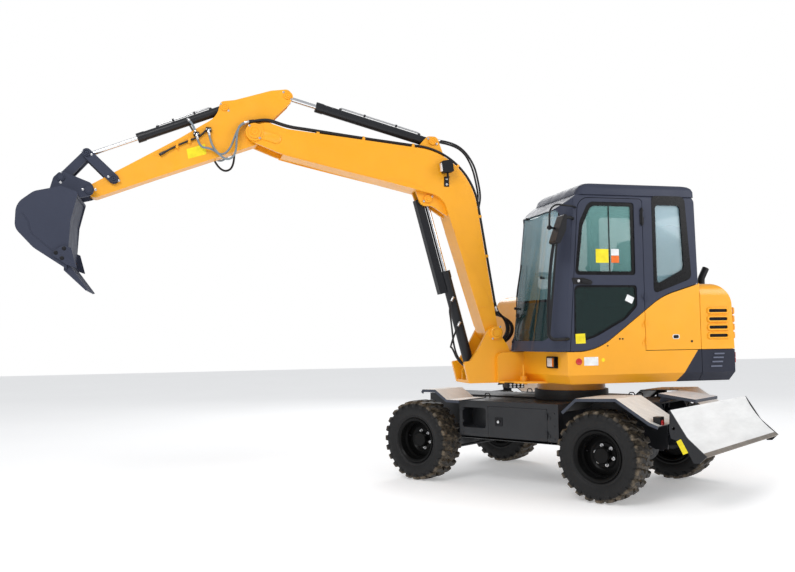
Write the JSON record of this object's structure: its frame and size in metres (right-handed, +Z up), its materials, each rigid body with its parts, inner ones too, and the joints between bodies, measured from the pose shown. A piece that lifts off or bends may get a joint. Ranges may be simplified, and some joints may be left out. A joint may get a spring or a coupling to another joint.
{
  "type": "wheeled excavator",
  "caption": "Compact wheeled excavator with a slewing cab and engine house, cranked boom, arm and toothed bucket, rear dozer blade and steered front axle on lugged tyres",
  "frame": {"origin": "middle of the whole machine's footprint, at ground level", "axes": "+X runs from the slew axis along the boom towards the bucket, +Y to the cab side, +Z up; the undercarriage stands turned 55 degrees clockwise under the superstructure"},
  "size_m": [7.0802, 3.9448, 3.8915],
  "materials": {
    "yellow_paint": "gloss orange-yellow enamel",
    "slate_paint": "satin dark slate enamel",
    "chassis_paint": "satin dark blue-grey enamel",
    "step_grey": "light grey tread plate with blue-grey rolled edges",
    "blade_grey": "pale grey mouldboard, dark side plates",
    "axle_iron": "painted black casting",
    "rim_black": "satin black",
    "tyre_rubber": "black rubber",
    "chromed_rod": "hard chrome",
    "tinted_glass": "clear safety glass with black borders",
    "seat_cloth": "woven seat cloth",
    "black_plastic": "moulded black",
    "lamp_plastic": "lamp lens",
    "engine_alloy": "cast alloy",
    "hose_rubber": "black hose cover"
  },
  "bodies": {
    "chassis": {"chassis_frame": "chassis_paint", "tool_box": "chassis_paint", "tank_box": "chassis_paint", "front_axle": "axle_iron", "rear_axle": "axle_iron", "rear_fenders": "step_grey", "front_fenders": "step_grey", "fender_stays": "chassis_paint", "tail_lamps": "lamp_plastic", "drive_shafts": "axle_iron", "rear_step": "step_grey"},
    "upper": {"upper_deck": "yellow_paint", "counterweight": "slate_paint", "boom_bracket": "yellow_paint", "engine_block": "engine_alloy", "cab_mounts": "black_plastic", "cab_frame": "slate_paint", "cab_glass": "tinted_glass", "operator_seat": "seat_cloth", "seat_base": "black_plastic", "steering_column": "black_plastic", "left_sill_panel": "yellow_paint", "right_cover": "yellow_paint", "handrail": "black_plastic", "mirror": "black_plastic", "headlamps": "lamp_plastic"},
    "cab_door": {"cab_door": "slate_paint", "door_glass": "tinted_glass"},
    "boom": {"boom": "yellow_paint", "work_lamp": "black_plastic", "boom_hoses": "hose_rubber"},
    "arm": {"arm": "yellow_paint"},
    "engine_hood": {"engine_hood": "yellow_paint", "exhaust_pipe": "black_plastic"},
    "wheel_front_left": {"tyre_front_left": "tyre_rubber", "rim_front_left": "rim_black"},
    "wheel_front_right": {"tyre_front_right": "tyre_rubber", "rim_front_right": "rim_black"},
    "wheel_rear_left": {"tyre_rear_left": "tyre_rubber", "rim_rear_left": "rim_black"},
    "wheel_rear_right": {"tyre_rear_right": "tyre_rubber", "rim_rear_right": "rim_black"},
    "knuckle_left": {"knuckle_left": "axle_iron"},
    "knuckle_right": {"knuckle_right": "axle_iron"},
    "tie_rod": {"tie_rod": "axle_iron"},
    "tool_box_door": {"tool_box_door": "chassis_paint"},
    "blade": {"blade": "blade_grey"},
    "left_side_door": {"left_side_door": "yellow_paint"},
    "right_side_door": {"right_side_door": "yellow_paint"},
    "boom_ram_barrel": {"boom_ram_barrel": "slate_paint"},
    "boom_ram_rod": {"boom_ram_rod": "chromed_rod"},
    "arm_ram_barrel": {"arm_ram_barrel": "slate_paint"},
    "arm_ram_rod": {"arm_ram_rod": "chromed_rod"},
    "bucket_ram_barrel": {"bucket_ram_barrel": "slate_paint"},
    "bucket_ram_rod": {"bucket_ram_rod": "chromed_rod"},
    "blade_ram_barrel": {"blade_ram_barrel": "chassis_paint"},
    "blade_ram_rod": {"blade_ram_rod": "chromed_rod"},
    "rocker": {"rocker": "slate_paint"},
    "bucket_link": {"bucket_link": "slate_paint"},
    "bucket": {"bucket": "slate_paint"}
  },
  "joints": [
    {"name": "slew", "type": "hinge", "parent": "chassis", "child": "upper", "pos_m": [-1.758, -0.007, 0.95], "axis": [0, 0, 1], "continuous": true},
    {"name": "steer_left", "type": "hinge", "parent": "chassis", "child": "knuckle_left", "pos_m": [-0.38323, -0.68022, 0.415], "axis": [0, 0, 1], "range_deg": [-25, 25]},
    {"name": "steer_right", "type": "hinge", "parent": "chassis", "child": "knuckle_right", "pos_m": [-1.59558, -1.52911, 0.415], "axis": [0, 0, 1], "range_deg": [-25, 25]},
    {"name": "tie_rod_pivot", "type": "hinge", "parent": "knuckle_left", "child": "tie_rod", "pos_m": [-0.58723, -0.61553, 0.312], "axis": [0, 0, 1], "range_deg": [-31, 31]},
    {"name": "roll_front_left", "type": "hinge", "parent": "knuckle_left", "child": "wheel_front_left", "pos_m": [-0.33409, -0.6458, 0.415], "axis": [0.8192, 0.5736, 0], "continuous": true},
    {"name": "roll_front_right", "type": "hinge", "parent": "knuckle_right", "child": "wheel_front_right", "pos_m": [-1.64473, -1.56353, 0.415], "axis": [0.8192, 0.5736, 0], "continuous": true},
    {"name": "roll_rear_left", "type": "hinge", "parent": "chassis", "child": "wheel_rear_left", "pos_m": [-1.5386, 1.07442, 0.415], "axis": [0.8192, 0.5736, 0], "continuous": true},
    {"name": "roll_rear_right", "type": "hinge", "parent": "chassis", "child": "wheel_rear_right", "pos_m": [-2.84924, 0.15669, 0.415], "axis": [0.8192, 0.5736, 0], "continuous": true},
    {"name": "boom_lift", "type": "hinge", "parent": "upper", "child": "boom", "pos_m": [-0.861, -0.007, 1.534], "axis": [0, -1, 0], "range_deg": [-85, 19]},
    {"name": "arm_swing", "type": "hinge", "parent": "boom", "child": "arm", "pos_m": [1.496, -0.007, 3.45], "axis": [0, 1, 0], "range_deg": [-24, 84]},
    {"name": "bucket_curl", "type": "hinge", "parent": "arm", "child": "bucket", "pos_m": [2.962, -0.007, 2.859], "axis": [0, 1, 0], "range_deg": [-90, 76]},
    {"name": "blade_lift", "type": "hinge", "parent": "chassis", "child": "blade", "pos_m": [-2.34878, 0.83673, 0.5], "axis": [0.8192, 0.5736, 0], "range_deg": [-50, 3]},
    {"name": "boom_ram_pivot", "type": "hinge", "parent": "upper", "child": "boom_ram_barrel", "pos_m": [-0.658, -0.007, 1.17], "axis": [0, -1, 0], "range_deg": [-79.62, 18.57]},
    {"name": "boom_ram_slide", "type": "slide", "parent": "boom_ram_barrel", "child": "boom_ram_rod", "axis": [0.2531, 0, 0.9674], "range_m": [-0.5361, 0.1214]},
    {"name": "arm_ram_pivot", "type": "hinge", "parent": "boom", "child": "arm_ram_barrel", "pos_m": [-0.268, -0.007, 3.452], "axis": [0, -1, 0], "range_deg": [-3.27, 1.65]},
    {"name": "arm_ram_slide", "type": "slide", "parent": "arm_ram_barrel", "child": "arm_ram_rod", "axis": [0.9671, 0, 0.2545], "range_m": [-0.1867, 0.6485]},
    {"name": "bucket_ram_pivot", "type": "hinge", "parent": "arm", "child": "bucket_ram_barrel", "pos_m": [1.769, -0.007, 3.688], "axis": [0, -1, 0], "range_deg": [-3.36, 3.79]},
    {"name": "bucket_ram_slide", "type": "slide", "parent": "bucket_ram_barrel", "child": "bucket_ram_rod", "axis": [0.9282, 0, -0.372], "range_m": [-0.335, 0.2832]},
    {"name": "blade_ram_pivot", "type": "hinge", "parent": "chassis", "child": "blade_ram_barrel", "pos_m": [-2.32297, 0.79987, 0.77], "axis": [0.8192, 0.5736, 0], "range_deg": [-36.5, 3.13]},
    {"name": "blade_ram_slide", "type": "slide", "parent": "blade_ram_barrel", "child": "blade_ram_rod", "axis": [-0.5649, 0.8068, -0.1732], "range_m": [-0.0132, 0.1879]},
    {"name": "rocker_pivot", "type": "hinge", "parent": "arm", "child": "rocker", "pos_m": [2.757, -0.007, 2.97], "axis": [0, 1, 0], "range_deg": [-62.2, 52.68]},
    {"name": "link_pivot", "type": "hinge", "parent": "bucket", "child": "bucket_link", "pos_m": [3.202, -0.007, 2.963], "axis": [0, 1, 0], "range_deg": [-52.68, 62.2]},
    {"name": "cab_door_hinge", "type": "hinge", "parent": "upper", "child": "cab_door", "pos_m": [-2.085, 0.932, 2.245], "axis": [0, 0, 1], "range_deg": [0, 165]},
    {"name": "left_side_door_hinge", "type": "hinge", "parent": "upper", "child": "left_side_door", "pos_m": [-2.085, 0.932, 1.515], "axis": [0, 0, 1], "range_deg": [-90, 0]},
    {"name": "right_side_door_hinge", "type": "hinge", "parent": "upper", "child": "right_side_door", "pos_m": [-2.085, -0.946, 1.585], "axis": [0, 0, 1], "range_deg": [0, 90]},
    {"name": "engine_hood_hinge", "type": "hinge", "parent": "upper", "child": "engine_hood", "pos_m": [-2.708, -0.627, 1.994], "axis": [0, 1, 0], "range_deg": [0, 50]},
    {"name": "tool_box_door_hinge", "type": "hinge", "parent": "chassis", "child": "tool_box_door", "pos_m": [-1.19855, 0.60447, 0.645], "axis": [0, 0, 1], "range_deg": [0, 100]}
  ],
  "couplings": [
    {"joint": "steer_right", "follows": "steer_left", "ratio": 1},
    {"joint": "tie_rod_pivot", "follows": "steer_left", "ratio": -1.2},
    {"joint": "boom_ram_pivot", "follows": "boom_lift", "ratio": 0.925},
    {"joint": "boom_ram_slide", "follows": "boom_lift", "m_per_rad": 0.36},
    {"joint": "arm_ram_pivot", "follows": "arm_swing", "ratio": -0.027},
    {"joint": "arm_ram_slide", "follows": "arm_swing", "m_per_rad": 0.441},
    {"joint": "bucket_ram_pivot", "follows": "bucket_curl", "ratio": -0.031},
    {"joint": "bucket_ram_slide", "follows": "bucket_curl", "m_per_rad": 0.212},
    {"joint": "blade_ram_pivot", "follows": "blade_lift", "ratio": 0.71},
    {"joint": "blade_ram_slide", "follows": "blade_lift", "m_per_rad": -0.213},
    {"joint": "rocker_pivot", "follows": "bucket_curl", "ratio": 0.68},
    {"joint": "link_pivot", "follows": "bucket_curl", "ratio": -0.68}
  ]
}
